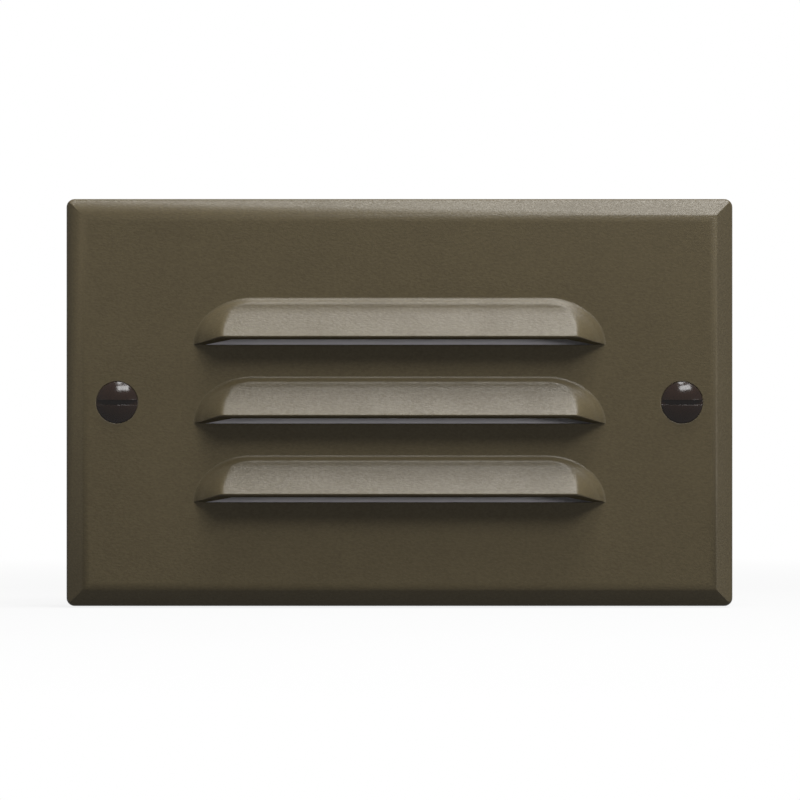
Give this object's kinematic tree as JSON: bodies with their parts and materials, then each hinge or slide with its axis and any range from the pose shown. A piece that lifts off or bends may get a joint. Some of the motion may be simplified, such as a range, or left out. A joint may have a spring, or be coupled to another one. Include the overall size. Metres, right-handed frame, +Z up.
{
  "type": "step light",
  "caption": "Recessed louvred step light: bevelled cast faceplate with downward hoods over a frosted lens, on a strap and LED housing that fit a single-gang wall box.",
  "frame": {"origin": "centre of the wall plane, level with the strap's back face and midway between its box-screw slots", "axes": "+X along the plate to the viewer's right, -Y out of the wall through the faceplate, +Z up"},
  "size_m": [0.1142, 0.0494, 0.0698],
  "materials": {
    "bronze_paint": "satin bronze powder coat with a fine grain",
    "black_foam": "closed-cell foam",
    "clear_silicone": "soft silicone",
    "frosted_glass": "frosted",
    "spring_steel": "bright spring steel",
    "zinc_screw": "zinc plated",
    "dark_screw": "gloss dark bronze",
    "zinc_strap": "galvanised sheet",
    "green_screw": "green plated",
    "cast_housing": "as-cast aluminium",
    "white_plastic": "white moulding",
    "white_board": "white solder mask",
    "led_phosphor": "phosphor dome",
    "grey_pad": "soft pad",
    "nylon": "natural nylon",
    "red_insulation": "wire insulation",
    "black_insulation": "wire insulation",
    "fish_paper": "insulating paper",
    "green_board": "green solder mask",
    "copper_winding": "enamelled copper",
    "capacitor_sleeve": "shrink sleeve",
    "black_epoxy": "moulded epoxy",
    "terminal_plastic": "moulded nylon",
    "cover_plastic": "black moulding",
    "black_rubber": "moulded rubber"
  },
  "bodies": {
    "fixture": {"mounting_yoke": "zinc_strap", "ground_screw": "green_screw", "housing": "cast_housing", "yoke_screws": "zinc_screw", "chamber_seal": "black_foam", "reflector": "white_plastic", "led_board": "white_board", "led_packages": "led_phosphor", "led_board_screws": "zinc_screw", "thermal_pad": "grey_pad", "lead_bushing": "nylon", "led_lead_red": "red_insulation", "led_lead_black": "black_insulation", "insulating_sheet": "fish_paper", "driver_board": "green_board", "driver_board_screws": "zinc_screw", "driver_inductor": "copper_winding", "smoothing_capacitor": "capacitor_sleeve", "bridge_rectifier": "black_epoxy", "driver_chip": "black_epoxy", "terminal_block": "terminal_plastic", "rear_gasket": "black_foam", "rear_cover": "cover_plastic", "rear_cover_screws": "zinc_screw", "lead_grommet": "black_rubber"},
    "plate": {"faceplate": "bronze_paint", "plate_gasket": "black_foam", "lens_gasket": "clear_silicone", "diffuser_lens": "frosted_glass", "lens_clips": "spring_steel", "lens_clip_screws": "zinc_screw"},
    "left_ring": {"left_retaining_ring": "spring_steel"},
    "left_screw": {"left_face_screw": "dark_screw"},
    "right_ring": {"right_retaining_ring": "spring_steel"},
    "right_screw": {"right_face_screw": "dark_screw"}
  },
  "joints": [
    {"name": "plate_lift", "type": "slide", "parent": "fixture", "child": "plate", "axis": [0, -1, 0], "range_m": [0, 0.03]},
    {"name": "left_screw_travel", "type": "slide", "parent": "plate", "child": "left_ring", "axis": [0, -1, 0], "range_m": [0, 0.00317]},
    {"name": "left_screw_turn", "type": "hinge", "parent": "left_ring", "child": "left_screw", "pos_m": [-0.04842, 0, 0], "axis": [0, -1, 0], "range_deg": [0, 1441]},
    {"name": "right_screw_travel", "type": "slide", "parent": "plate", "child": "right_ring", "axis": [0, -1, 0], "range_m": [0, 0.00317]},
    {"name": "right_screw_turn", "type": "hinge", "parent": "right_ring", "child": "right_screw", "pos_m": [0.04842, 0, 0], "axis": [0, -1, 0], "range_deg": [0, 1441]}
  ],
  "couplings": [
    {"joint": "left_screw_turn", "follows": "left_screw_travel", "rad_per_m": 7915.8},
    {"joint": "right_screw_turn", "follows": "right_screw_travel", "rad_per_m": 7915.8}
  ]
}
